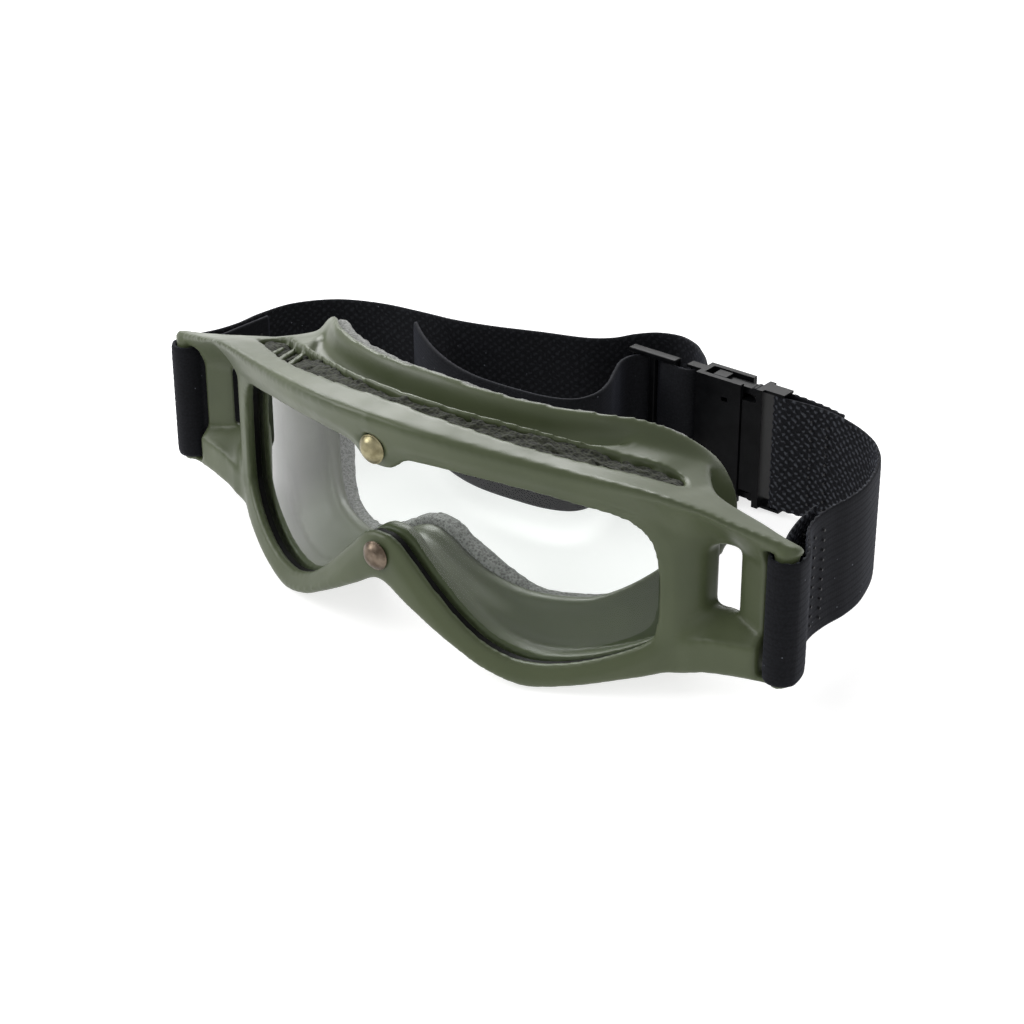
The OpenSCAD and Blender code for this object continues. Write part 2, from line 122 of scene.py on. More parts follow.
# ---------------------------------------------------------------- curves and fields
def smooth(points, steps=6, closed=False):
    """A Catmull-Rom curve through the points."""
    p = np.asarray(points, float)
    n = len(p)
    out = []
    for i in range(n if closed else n - 1):
        if closed:
            a, b, c, d = (p[(i + k) % n] for k in (-1, 0, 1, 2))
        else:
            a, b, c, d = (p[min(max(i + k, 0), n - 1)] for k in (-1, 0, 1, 2))
        for t in np.arange(steps) / steps:
            out.append(
                0.5 * (2 * b + (c - a) * t + (2 * a - 5 * b + 4 * c - d) * t * t
                       + (3 * b - a - 3 * c + d) * t ** 3)
            )
    if not closed:
        out.append(p[-1])
    return np.array(out)


def ring(half, steps=6):
    """A right half outline, top centre to bottom centre, joined to its mirror image."""
    left = [(-x, z) for x, z in half[-2:0:-1]]
    return smooth(list(half) + left, steps, closed=True)


def outline_distance(outline, a, b):
    """Distance from the outline to the points (a, b), below zero inside it."""
    p = np.asarray(outline, float)
    q = np.roll(p, -1, 0)
    shape = np.broadcast(a, b).shape
    a = np.broadcast_to(a, shape).ravel()
    b = np.broadcast_to(b, shape).ravel()
    best = np.full(a.shape, 1e9)
    inside = np.zeros(a.shape, bool)
    for (x0, z0), (x1, z1) in zip(p, q):
        dx, dz = x1 - x0, z1 - z0
        length = dx * dx + dz * dz
        if length < 1e-12:
            continue
        t = np.clip(((a - x0) * dx + (b - z0) * dz) / length, 0, 1)
        best = np.minimum(best, (a - x0 - t * dx) ** 2 + (b - z0 - t * dz) ** 2)
        if z0 != z1:
            cross = (z0 > b) != (z1 > b)
            inside ^= cross & (a < (b - z0) * dx / dz + x0)
    d = np.sqrt(best)
    return np.where(inside, -d, d).reshape(shape)


def join(a, b, k=1.5):
    """Union of two fields with a fillet."""
    h = np.maximum(k - np.abs(a - b), 0) / k
    return np.minimum(a, b) - h * h * k / 4


def meet(a, b, k=1.0):
    """Intersection of two fields with a rounded edge."""
    h = np.maximum(k - np.abs(a - b), 0) / k
    return np.maximum(a, b) + h * h * k / 4


def cut(a, b, k=1.0):
    """The first field without the second, with a rounded edge."""
    return meet(a, -b, k)


def ramp(x, low, high):
    """From 0 at low to 1 at high, level at both ends."""
    t = np.clip((x - low) / (high - low), 0, 1)
    return t * t * (3 - 2 * t)


def slab(value, low, high):
    """Distance to the range from low to high, below zero inside it."""
    return np.maximum(low - value, value - high)


def rounded_box(x, y, x0, x1, y0, y1, r):
    """Distance to a rectangle with rounded corners."""
    qx = np.abs(x - (x0 + x1) / 2) - (x1 - x0) / 2 + r
    qy = np.abs(y - (y0 + y1) / 2) - (y1 - y0) / 2 + r
    out = np.hypot(np.maximum(qx, 0), np.maximum(qy, 0))
    return out + np.minimum(np.maximum(qx, qy), 0) - r


def surface_net(field, origin, cell):
    """Vertices and quads of the field's zero surface."""
    inside = field < 0
    nx, ny, nz = field.shape
    total = np.zeros((nx - 1, ny - 1, nz - 1, 3), np.float32)
    count = np.zeros((nx - 1, ny - 1, nz - 1), np.float32)
    corner = (slice(0, -1), slice(1, None))
    axes = np.eye(3, dtype=int)
    for axis in range(3):
        others = [k for k in range(3) if k != axis]
        for i in (0, 1):
            for j in (0, 1):
                low = [None] * 3
                low[axis], low[others[0]], low[others[1]] = corner[0], corner[i], corner[j]
                high = list(low)
                high[axis] = corner[1]
                a, b = field[tuple(low)], field[tuple(high)]
                crossing = (a < 0) != (b < 0)
                t = np.where(crossing, a / np.where(crossing, a - b, 1), 0)
                total[..., axis] += t
                total[..., others[0]] += crossing * i
                total[..., others[1]] += crossing * j
                count += crossing
    used = count > 0
    index = np.full(count.shape, -1, np.int64)
    index[used] = np.arange(used.sum())
    cells = np.argwhere(used)
    verts = (cells + total[used] / count[used][:, None]) * cell + origin
    quads = []
    for axis in range(3):
        u, v = [k for k in range(3) if k != axis]
        if axis == 1:
            u, v = v, u
        low = [slice(None)] * 3
        high = [slice(None)] * 3
        low[axis], high[axis] = slice(0, -1), slice(1, None)
        a, b = inside[tuple(low)], inside[tuple(high)]
        for turned, where in ((False, a & ~b), (True, ~a & b)):
            e = np.argwhere(where)
            e = e[(e[:, u] > 0) & (e[:, v] > 0) & (e[:, u] < field.shape[u] - 1)
                  & (e[:, v] < field.shape[v] - 1)]
            around = [e - axes[u] - axes[v], e - axes[v], e, e - axes[u]]
            q = np.stack([index[tuple(c.T)] for c in around], 1)
            quads.append(q[:, ::-1] if turned else q)
    return verts, np.concatenate(quads)


def relaxed(verts, quads):
    """The surface with the cells' steps smoothed out, at nearly the same volume."""
    edges = np.concatenate([quads[:, [i, (i + 1) % 4]] for i in range(4)])
    count = np.bincount(edges[:, 0], minlength=len(verts)) + 0.0
    count += np.bincount(edges[:, 1], minlength=len(verts))
    for weight in RELAX * RELAX_ROUNDS:
        mean = np.empty_like(verts)
        for axis in range(3):
            total = np.bincount(edges[:, 0], verts[edges[:, 1], axis], len(verts))
            total += np.bincount(edges[:, 1], verts[edges[:, 0], axis], len(verts))
            mean[:, axis] = total / count
        verts = verts + weight * (mean - verts)
    return verts


def mesh_object(name, verts, faces, finish):
    """A smooth mesh object from upright millimetres."""
    mesh = bpy.data.meshes.new(name)
    mesh.from_pydata(placed(verts).tolist(), [], [list(map(int, f)) for f in faces])
    mesh.validate()
    mesh.shade_smooth()
    mesh.materials.append(finish)
    obj = bpy.data.objects.new(name, mesh)
    bpy.context.scene.collection.objects.link(obj)
    return obj


def store(obj, name, values):
    """A number for each vertex, which the material reads."""
    attribute = obj.data.attributes.new(name, "FLOAT", "POINT")
    attribute.data.foreach_set("value", np.asarray(values, np.float32))


# ---------------------------------------------------------------- outlines of the moulding
# Lens housing, seen from the front
HOUSING = [
    (0, 72), (40, 72), (82, 72), (88.4, 60), (88.8, 40), (88.6, 20), (87, 4), (80, -3.6),
    (70, -6.8), (58, -10), (46, -11.8), (35, -8.8), (26, -4), (18, 0.6), (10, 5.4), (0, 10.6),
]
APERTURE = [
    (0, 46.6), (5, 47.2), (9, 50.2), (14, 51.4), (30, 51.4), (48, 49.8), (60, 47.2), (68, 45),
    (73.4, 41.8), (77.2, 35.2), (78.5, 24), (78.2, 10.4), (75.6, 5), (66, -0.2), (55, -3.8),
    (44, -4.8), (34, -1.6), (26, 4), (18, 11.4), (11.5, 18), (7, 22.6), (3, 24.8), (0, 25),
]
LENS = [
    (0, 56.4), (8, 56.2), (22, 55.6), (40, 54.4), (56, 52), (69, 48.8), (77.6, 43), (81.4, 34),
    (82.2, 22), (81.4, 9), (77, 1.4), (67, -4), (56, -7.4), (45, -8.4), (35, -5.4), (26, 0.4),
    (18, 7), (10, 13), (4, 15), (0, 15.2),
]
# Outside of the tub at the lens, and of the flange
TUB = [
    (0, 55.8), (20, 55.8), (41, 55.4), (60, 55.3), (67, 55), (71, 53.6), (73.6, 50), (75.6, 44),
    (78, 38), (80.9, 31), (81.3, 20), (80.4, 9), (77, 2), (70, -3.4), (58, -7), (46, -8.2),
    (36, -6.4), (27, -1.2), (18, 5), (10, 11), (0, 15),
]
FLANGE = [
    (0, 66.5), (20, 65.6), (41, 64.2), (51, 63.4), (59, 61.8), (65, 59.4), (69.6, 56),
    (73.4, 51), (77, 44.6), (79.2, 38.6), (80.2, 31), (79.4, 24), (77.6, 17.5), (75.2, 12),
    (72, 7), (67, 1.6), (62, -3), (55, -7), (46, -7.6), (36, -6), (27, -1), (18, 5), (10, 11),
    (0, 15),
]
# Opening on the face side, which the tub narrows to
REAR = [
    (0, 52.8), (20, 52.8), (41, 52.4), (58, 52), (65, 50), (69.4, 45), (71.6, 37), (71.6, 28),
    (69, 20), (65.4, 14.4), (61, 10.2), (56.8, 7.1), (52.3, 4.6), (47.5, 3), (38.5, 2.4),
    (28.6, 3.2), (19.4, 6.2), (11, 10.6), (5, 14.6), (0, 16),
]
# Arm, seen from the front
ARM = [
    (80, 72), (104, 72), (HALF_W - 1, 72), (HALF_W, 60), (HALF_W, 4), (HALF_W - 1.6, 1.6),
    (110, 0.6), (100, 0), (92, -1), (84, -3.4), (78, -3), (78, 40),
]
# Brow ridge from the centre to the arm's tip: across, depth, height
RIDGE = np.array([
    (0, -40.4, 64.2), (20, -38.4, 63.4), (40, -32.7, 61.4), (60, -24.9, 58.7), (80, -17.4, 56.3),
    (90, -13.4, 53.6), (98, -9.6, 50.6), (106, -5.4, 47.8), (112, -2.6, 46), (118.5, -0.6, 44.6),
])
# Front and back of the arm's plate, and front of its foot, seen from above
PLATE = np.array([
    (78, -11), (82, -7.9), (84, -6.2), (86, -3.9), (88.5, -0.3), (91, 3.2), (95, 4.5),
    (100, 3.2), (107, 1.2), (112, 0.1), (120, 0),
])
PLATE_BACK = np.array([(78, 6.4), (91, 6.4), (96, 6.8), (103, 6.8), (110, 5.4), (120, 4)])
FOOT = np.array([
    (76, -11.6), (84, -8), (90, -6), (96, -4.6), (104, -2.8), (112, -1.4), (120, -0.8),
])
# Where the brow's front face starts to come forward, and the floor of the arm's pocket
CREASE = np.array([
    (0, 50.5), (30, 51), (60, 48), (78, 44), (84, 40), (90, 37), (97, 35), (104, 34.5), (120, 36),
])
FLOOR_LOW = np.array([(76, 2), (84, 6), (92, 9.6), (104, 10.6), (120, 11)])
FLOOR_HIGH = np.array([(76, 8), (84, 13), (92, 16), (104, 14.4), (120, 13)])
# Rear edge of the arm and deck seen from above
DECK_BACK = [
    (0, -60), (140, -60), (140, 4.2), (HALF_W, 4.2), (110, 4.4), (103, 4.2), (97, 4), (91.5, 5),
    (86.5, 8), (81.5, 12.6), (76.5, 18.6), (72.5, 26), (71, 34), (70.6, 44), (0, 44),
]
# Vent slot: across, depth of its front edge, depth of its back edge, lowest part of its cut
SLOT = np.array([
    (0, -29.9, -25.3, 57.4), (20, -28.4, -22.5, 57), (40, -23.5, -14.3, 55.6),
    (52, -18.4, -7.6, 53.8), (58, -15.1, -4.7, 52.6), (64, -11.5, -1.2, 51.2),
    (70, -7.6, 2.6, 49.6), (76, -3.8, 6.2, 48), (84, 2.4, 11, 46),
])
SLOT_END = 78.4
SLOT_END_Y = 2.6
SLOT_END_ROUND = 4
# Cross ribs in the slot, how far they lie under the deck, and their radius
RIBS = (50, 57.5, 65)
RIB_LOW = 3.0
RIB_R = 1.1
# Steps inside the tub: height, and start and end as shares of its depth
TUB_STEPS = ((1.0, 0.10, 0.14), (0.8, 0.60, 0.64))


def along(table, column, x):
    """The table's column at x, as a curve with no corners."""
    fine = smooth(table, 8)
    return np.interp(x, fine[:, 0], fine[:, column])


def slot_edges(x):
    """Front and back edge of the vent slot."""
    return along(SLOT, 1, np.abs(x)), along(SLOT, 2, np.abs(x))


def slot_end(x, y):
    """Distance past the slot's end, square to the slot."""
    return 0.78 * (np.abs(x) - SLOT_END) + 0.62 * (y - SLOT_END_Y)


def cylinder(x):
    """Depth of the front's round face."""
    return FRONT_C - np.sqrt(np.maximum(FRONT_R ** 2 - x ** 2, 1))


def face_side(xs, ys, zs):
    """How far points are behind the flange's front, which curls back at the temples."""
    x2, z2 = np.meshgrid(xs, zs, indexing="ij")
    inside = -outline_distance(ring(FLANGE), x2, z2)
    near = 1 - np.clip(inside / CURL_W, 0, 1)
    curl = TEMPLE_BACK * ramp(x2, 45, 65)
    curl = curl + CURL * near ** 2 * ramp(x2, 48, 62) * ramp(z2, 36, 52)
    curl = curl + BROW_ROLL * np.clip(z2 - BROW_ROLL_Z, 0, 14) ** 2
    return FACE_R - np.hypot(xs[:, None, None], ys[None, :, None] - FACE_C) - curl[:, None, :]


def on_face(outline, xs, ys, zs):
    """Distance to an outline drawn on the flange's round front, square to that front."""
    x2, z2 = np.meshgrid(xs, zs, indexing="ij")
    table = outline_distance(ring(outline), x2, z2)
    radius = np.maximum(np.hypot(xs[:, None], ys - FACE_C), 1)
    at = np.clip(xs[:, None] * FACE_R / radius / (xs[1] - xs[0]), 0, len(xs) - 1.001)
    i = at.astype(int)
    f = (at - i)[..., None]
    return table[i] * (1 - f) + table[i + 1] * f


def deck_height(x, y):
    """Top of the brow shelf."""
    u = np.minimum(np.abs(x), 82) / 100.0
    slope = 0.126 - 0.6 * u * u
    return along(RIDGE, 2, np.abs(x)) + slope * (y - along(RIDGE, 1, np.abs(x)))


def front_depth(x, z, outside):
    """Depth of the moulding's front, for points so far outside the aperture."""
    base = np.where(x < PLATE[0, 0], cylinder(x), along(PLATE, 1, x))
    ridge = along(RIDGE, 1, x)
    start = along(CREASE, 1, x)
    t = np.clip((z - start) / (along(RIDGE, 2, x) - start), 0, 1.15)
    depth = base + (ridge - base) * t ** 1.3
    depth = depth + BEVEL * (1 - np.clip(outside / BEVEL_W, 0, 1))
    foot = np.minimum(along(FOOT, 1, x), base)
    low = along(FLOOR_LOW, 1, x)
    floor = 1 - np.clip((z - low) / (along(FLOOR_HIGH, 1, x) - low), 0, 1)
    return depth + (foot - base) * floor * ramp(x, 78, 88)


def frame_field():
    """The moulded frame: housing, brow, tub, flange and arms, right half."""
    xs = np.arange(0, HALF_W + 3, CELL)
    ys = np.arange(-46, 42, CELL)
    zs = np.arange(-15, 70, CELL)
    x2, z2 = np.meshgrid(xs, zs, indexing="ij")
    px, py = np.meshgrid(xs, ys, indexing="ij")
    X, Y, Z = xs[:, None, None], ys[None, :, None], zs[None, None, :]

    def tall(a):
        return a[:, None, :]

    def flat(a):
        return a[:, :, None]

    aperture = outline_distance(ring(APERTURE), x2, z2)
    front = front_depth(x2, z2, aperture)
    gx, gz = np.gradient(front, CELL)
    ahead = (tall(front) - Y) / tall(np.sqrt(1 + np.minimum(gx ** 2 + gz ** 2, 4)))
    aperture = tall(aperture)
    deck = deck_height(px, py)
    dx, dy = np.gradient(deck, CELL)
    above = (Z - flat(deck)) / flat(np.sqrt(1 + dx ** 2 + dy ** 2))
    behind_round = FRONT_R - np.hypot(X, Y - FRONT_C)
    behind_face = face_side(xs, ys, zs)
    face = FACE_C - np.sqrt(np.maximum(FACE_R ** 2 - xs ** 2, 1))

    # Housing round the lens, deck and arms, under one front and one top
    housing = meet(tall(outline_distance(ring(HOUSING), x2, z2)), behind_round - LEDGE_BACK, 2)
    housing = meet(housing, Y - 6.4 - ramp(80 - X, 0, 6) * 20, 1.5)
    slot_front, slot_back = slot_edges(xs)
    rear = slot_back + 2.0
    rear = rear + (face + 2 - rear) * ramp(xs, 52, 62)
    shelf = slab(above, -SHELF_T, 40)
    shelf = meet(shelf, flat(outline_distance(smooth(DECK_BACK, 3), px, py)), 2.5)
    shelf = meet(shelf, 0.8 * (Y - rear[:, None, None]), 1.2)
    arm = tall(outline_distance(smooth(ARM, 1), x2, z2))
    arm = meet(arm, Y - along(PLATE_BACK, 1, xs)[:, None, None], 2.5)
    body = join(join(housing, shelf, 1.5), arm, 2.5)
    body = meet(body, ahead, 2.2)
    body = meet(body, above, 2.6)

    # Tub that narrows towards the face, with its steps inside, and its flange
    deep = np.maximum(behind_round - LEDGE_BACK - 1.4, 0)
    t = deep / (deep + np.maximum(-behind_face, 0) + 0.01)
    tub = tall(outline_distance(ring(TUB), x2, z2)) * (1 - t)
    tub = tub + t * (tall(outline_distance(ring(REAR), x2, z2)) - WALL)
    step = sum(height * ramp(t, start, end) for height, start, end in TUB_STEPS)
    shell = meet(np.abs(tub + WALL / 2) - WALL / 2, behind_face - FLANGE_T, 1.0)
    shell = meet(shell, 9 - behind_round, 1.0)
    body = join(body, shell, 2.0)
    rim = on_face(FLANGE, xs, ys, zs)
    rim = meet(rim, np.abs(behind_face - FLANGE_T / 2) - FLANGE_T / 2, 2.6)
    body = join(body, rim, 4.5)

    # Openings: face side, lens groove, view through the lip
    body = cut(body, meet(tub + WALL + step, LEDGE_BACK - behind_round, 1.0), 0.8)
    lens = tall(outline_distance(ring(LENS), x2, z2)) - LENS_ROOM
    groove = meet(lens, slab(behind_round, LIP, LIP + SEAL + LENS_T + 0.2), 0.4)
    body = cut(body, meet(aperture, behind_round - LIP - 1, 0.4), 0.8)
    body = cut(body, groove, 0.4)
    view = meet(aperture - 0.6, slab(behind_round, LIP, LEDGE_BACK + 1), 0.4)
    body = cut(body, view, 1.2)

    # Vent slot, window and the room round the strap post
    across = np.maximum(slot_front[:, None] - ys, ys - slot_back[:, None])
    across = across / np.sqrt(1 + np.gradient(slot_back, CELL) ** 2)[:, None]
    slot = meet(across, slot_end(px, py), SLOT_END_ROUND)
    slot = meet(flat(slot), along(SLOT, 3, xs)[:, None, None] - Z, 0.5)
    body = cut(body, slot, 0.6)
    flare = WINDOW_FLARE * np.clip(Y - 3.5, 0, 4) * ramp(X, 91, 94)
    window = rounded_box(X - flare, Z, *WINDOW_X, *WINDOW_Z, 1.4)
    body = cut(body, window, 1.2)
    low, high = STRAP_Z - STRAP_ROOM, STRAP_Z + STRAP_W + STRAP_ROOM
    body = cut(body, rounded_box(X, Z, SLOT_X, 150, low, high, 1.2) + 0 * Y, 1.2)
    post = np.hypot(X - POST[0], Y - POST[1]) - POST_R
    body = join(body, np.maximum(post + 0 * Z, slab(Z, *POST_Z)), 0.6)
    # Round nose of the arm's tip seen from above
    tip = rounded_box(X, Y, -200, HALF_W + 0.3, -60, 90, 4.5)
    body = meet(body, tip + 0 * Z, 2.0)
    for z in SNAP_Z:
        seat = np.hypot(X, Z - z) - SNAP_SEAT_R
        body = cut(body, meet(seat + 0 * Y, Y - (FRONT_C - FRONT_R) - 0.1, 0.3), 0.6)

    for x in RIBS:
        slant = (X - x) * 0.9 - (Y - slot_edges(x)[0]) * 0.35
        rib = np.hypot(slant, above + RIB_LOW) - RIB_R
        keep = slab(Y, slot_edges(x - 4)[0] - 3, slot_edges(x + 4)[1] + 3)
        body = join(body, meet(rib, keep, 0.4), 0.8)
    return body, xs, ys, zs


def mirrored(half, xs, ys, zs):
    """Both sides of a field known for x from 0 up, with its lowest corner."""
    whole = np.concatenate([half[:0:-1], half]).astype(np.float32)
    return whole, np.array([-xs[-1], ys[0], zs[0]])


def noise(points, scale, seed):
    """Smooth seeded noise from -1 to 1 at points in mm, with features of the given size."""
    n = 32
    table = np.random.RandomState(seed).uniform(-1, 1, (n, n, n))
    p = np.asarray(points, float) / scale
    base = np.floor(p).astype(int)
    f = p - base
    f = f * f * (3 - 2 * f)
    total = 0
    for i in (0, 1):
        for j in (0, 1):
            for k in (0, 1):
                w = (np.where(i, f[..., 0], 1 - f[..., 0])
                     * np.where(j, f[..., 1], 1 - f[..., 1])
                     * np.where(k, f[..., 2], 1 - f[..., 2]))
                total = total + w * table[(base[..., 0] + i) % n, (base[..., 1] + j) % n,
                                          (base[..., 2] + k) % n]
    return total


# ---------------------------------------------------------------- materials
def material(name):
    """A material with its node tree and its Principled shader."""
    m = bpy.data.materials.new(name)
    m.use_nodes = True
    tree = m.node_tree
    return m, tree, tree.nodes["Principled BSDF"]


def node(tree, kind, inputs=None, **settings):
    """A shader node with its inputs linked to sockets or set to values."""
    n = tree.nodes.new(kind)
    for key, value in settings.items():
        setattr(n, key, value)
    for key, value in (inputs or {}).items():
        if isinstance(value, bpy.types.NodeSocket):
            tree.links.new(value, n.inputs[key])
        else:
            n.inputs[key].default_value = value
    return n


def place(tree, size):
    """Object coordinates in units of the given size in mm."""
    co = node(tree, "ShaderNodeTexCoord").outputs["Object"]
    return node(tree, "ShaderNodeVectorMath", {0: co, "Scale": 1000.0 / size},
                operation="SCALE").outputs["Vector"]


def value_of(tree, name):
    return node(tree, "ShaderNodeAttribute", attribute_name=name).outputs["Fac"]


def sum_of(tree, a, b, kind="ADD"):
    """The two values added, or taken together as kind says."""
    return node(tree, "ShaderNodeMath", {0: a, 1: b}, operation=kind).outputs[0]


def grain(tree, size, detail=3.0, roughness=0.55):
    return node(tree, "ShaderNodeTexNoise", {
        "Vector": place(tree, size), "Scale": 1.0, "Detail": detail, "Roughness": roughness,
    }).outputs["Fac"]


def between(tree, factor, low, high, start=0.0, end=1.0):
    """A colour between two, as factor goes from start to end."""
    n = node(tree, "ShaderNodeMapRange", {"Value": factor, "From Min": start, "From Max": end})
    mix = node(tree, "ShaderNodeMix", {"Factor": n.outputs[0]}, data_type="RGBA")
    mix.inputs[6].default_value = (*low, 1)
    mix.inputs[7].default_value = (*high, 1)
    return mix.outputs[2]


def bump(tree, height, strength, distance, normal=None):
    n = node(tree, "ShaderNodeBump", {
        "Height": height, "Strength": strength, "Distance": distance / 1000.0,
    })
    if normal is not None:
        tree.links.new(normal, n.inputs["Normal"])
    return n.outputs["Normal"]


def moulding_material():
    m, tree, shader = material("olive_moulding")
    wide = grain(tree, 26, 2)
    colour = between(tree, wide, (0.050, 0.063, 0.028), (0.060, 0.074, 0.034), 0.35, 0.65)
    # Painted shade: the colour is mixed darker along a line just under the brow ridge's crest,
    # where the front turns down; the same line also dents the surface a little by bump
    line = value_of(tree, "ridge_line")
    painted_ridge_shade = node(tree, "ShaderNodeMapRange", {
        "Value": line, "From Min": 0.0, "From Max": 1.3, "To Min": 0.7, "To Max": 1.0,
    }).outputs[0]
    shade = node(tree, "ShaderNodeMix", {"Factor": painted_ridge_shade}, data_type="RGBA")
    shade.inputs[6].default_value = (0.03, 0.038, 0.018, 1)
    tree.links.new(colour, shade.inputs[7])
    tree.links.new(shade.outputs[2], shader.inputs["Base Color"])
    rough = node(tree, "ShaderNodeMapRange", {
        "Value": grain(tree, 9), "From Min": 0.3, "From Max": 0.7, "To Min": 0.36, "To Max": 0.46,
    }).outputs[0]
    tree.links.new(rough, shader.inputs["Roughness"])
    step = bump(tree, painted_ridge_shade, 0.2, 0.3)
    fine = bump(tree, grain(tree, 0.5, 2), 0.06, 0.05, step)
    tree.links.new(fine, shader.inputs["Normal"])
    shader.inputs["Specular IOR Level"].default_value = 0.34
    shader.inputs["Sheen Weight"].default_value = 0.04
    shader.inputs["Sheen Roughness"].default_value = 0.5
    return m


def lens_material():
    """Clear sheet whose outer faces reflect: half as much as bare plastic head on."""
    m, tree, shader = material("clear_lens")
    tree.nodes.remove(shader)
    out = tree.nodes["Material Output"]
    clear = node(tree, "ShaderNodeBsdfTransparent", {"Color": (0.965, 0.98, 0.97, 1)})
    gloss = node(tree, "ShaderNodeBsdfGlossy", {"Color": (1, 1, 1, 1), "Roughness": 0.02})
    film = node(tree, "ShaderNodeFresnel", {"IOR": 1.585}).outputs[0]
    both = sum_of(tree, sum_of(tree, film, 1.35, "MULTIPLY"), 0.045, "SUBTRACT")
    outer = sum_of(tree, 1.0, node(tree, "ShaderNodeNewGeometry").outputs["Backfacing"],
                   "SUBTRACT")
    mix = node(tree, "ShaderNodeMixShader", {0: sum_of(tree, both, outer, "MULTIPLY")})
    tree.links.new(clear.outputs[0], mix.inputs[1])
    tree.links.new(gloss.outputs[0], mix.inputs[2])
    tree.links.new(mix.outputs[0], out.inputs["Surface"])
    return m


def foam_material(name, low, high, cell, depth):
    """Open-cell foam: pores of the given size, and fuzz."""
    m, tree, shader = material(name)
    pores = node(tree, "ShaderNodeTexVoronoi", {
        "Vector": place(tree, cell), "Scale": 1.0, "Randomness": 1.0,
    }).outputs["Distance"]
    mixed = sum_of(tree, pores, grain(tree, cell * 2.2, 4, 0.7), "MULTIPLY")
    tree.links.new(between(tree, mixed, low, high, 0.05, 0.36), shader.inputs["Base Color"])
    shader.inputs["Roughness"].default_value = 0.95
    shader.inputs["Specular IOR Level"].default_value = 0.15
    shader.inputs["Sheen Weight"].default_value = 0.08
    shader.inputs["Sheen Roughness"].default_value = 0.6
    tree.links.new(bump(tree, mixed, 0.9, depth), shader.inputs["Normal"])
    return m


def webbing_material():
    """Knitted elastic: fine ribs along the outside, loops on the inside with a painted highlight
    on their tops, a few specks of lint.
    """
    m, tree, shader = material("elastic_webbing")
    u, v = value_of(tree, "along"), value_of(tree, "across")
    inner = value_of(tree, "inner")
    tau = 2 * math.pi
    fuzz = grain(tree, 0.7, 4, 0.75)
    ribs = sum_of(tree, sum_of(tree, v, tau / 1.15, "MULTIPLY"), 0, "SINE")
    picks = sum_of(tree, sum_of(tree, u, tau / 0.9, "MULTIPLY"), 0, "SINE")
    fine = sum_of(tree, sum_of(tree, ribs, 0.5, "MULTIPLY"), sum_of(tree, picks, 0.2, "MULTIPLY"))
    drift = sum_of(tree, grain(tree, 3.0, 3), 3.4, "MULTIPLY")
    knots = [
        sum_of(tree, sum_of(tree, sum_of(tree, w, drift), tau / pitch, "MULTIPLY"), 0, "COSINE")
        for w, pitch in zip((u, v), LOOP)
    ]
    knot = sum_of(tree, *knots, "MULTIPLY")
    loop = node(tree, "ShaderNodeMapRange", {
        "Value": sum_of(tree, knot, sum_of(tree, fuzz, 0.8, "MULTIPLY")),
        "From Min": 0.5, "From Max": 1.2,
    }).outputs[0]
    raised = sum_of(tree, loop, inner, "MULTIPLY")
    tight = sum_of(tree, fine, sum_of(tree, 1.0, inner, "SUBTRACT"), "MULTIPLY")
    n = bump(tree, tight, 0.25, 0.10)
    n = bump(tree, raised, 0.8, 0.5, n)
    n = bump(tree, fuzz, 0.35, 0.16, n)
    tree.links.new(n, shader.inputs["Normal"])
    plain = between(tree, fuzz, (0.0016, 0.0018, 0.0026), (0.0065, 0.007, 0.0095), 0.35, 0.7)
    # Painted highlight: the raised tops of the knitted loops are mixed towards a lighter, bluish
    # colour
    top = node(tree, "ShaderNodeMix", {"Factor": sum_of(tree, raised, 0.7, "MULTIPLY")},
               data_type="RGBA")
    tree.links.new(plain, top.inputs[6])
    top.inputs[7].default_value = (0.066, 0.071, 0.082, 1)
    base = top.outputs[2]
    specks = node(tree, "ShaderNodeTexVoronoi", {
        "Vector": place(tree, 5.5), "Scale": 1.0, "Randomness": 1.0,
    }).outputs["Distance"]
    lint = node(tree, "ShaderNodeMapRange", {
        "Value": specks, "From Min": 0.035, "From Max": 0.055, "To Min": 0.5, "To Max": 0.0,
    }).outputs[0]
    mix = node(tree, "ShaderNodeMix", {"Factor": lint}, data_type="RGBA")
    tree.links.new(base, mix.inputs[6])
    mix.inputs[7].default_value = (0.16, 0.17, 0.2, 1)
    tree.links.new(mix.outputs[2], shader.inputs["Base Color"])
    shader.inputs["Roughness"].default_value = 0.85
    shader.inputs["Specular IOR Level"].default_value = 0.16
    shader.inputs["Sheen Weight"].default_value = 0.05
    shader.inputs["Sheen Roughness"].default_value = 0.4
    shader.inputs["Sheen Tint"].default_value = (0.6, 0.65, 0.9, 1)
    return m


def brass_material(name, low, high):
    m, tree, shader = material(name)
    wear = grain(tree, 3.4, 3, 0.55)
    tree.links.new(between(tree, wear, low, high, 0.35, 0.62), shader.inputs["Base Color"])
    shader.inputs["Metallic"].default_value = 1.0
    rough = node(tree, "ShaderNodeMapRange", {
        "Value": grain(tree, 1.1, 4), "From Min": 0.3, "From Max": 0.7, "To Min": 0.26,
        "To Max": 0.5,
    }).outputs[0]
    tree.links.new(rough, shader.inputs["Roughness"])
    tree.links.new(bump(tree, wear, 0.12, 0.04), shader.inputs["Normal"])
    return m


def plastic_material(name, colour, roughness):
    """Black moulded plastic with a fine spark-eroded texture."""
    m, tree, shader = material(name)
    tone = grain(tree, 6, 3)
    light = tuple(min(c * 1.7 + 0.002, 1) for c in colour)
    tree.links.new(between(tree, tone, colour, light, 0.3, 0.7), shader.inputs["Base Color"])
    shader.inputs["Roughness"].default_value = roughness
    shader.inputs["Specular IOR Level"].default_value = 0.06
    tree.links.new(bump(tree, grain(tree, 0.35, 2), 0.2, 0.04), shader.inputs["Normal"])
    return m


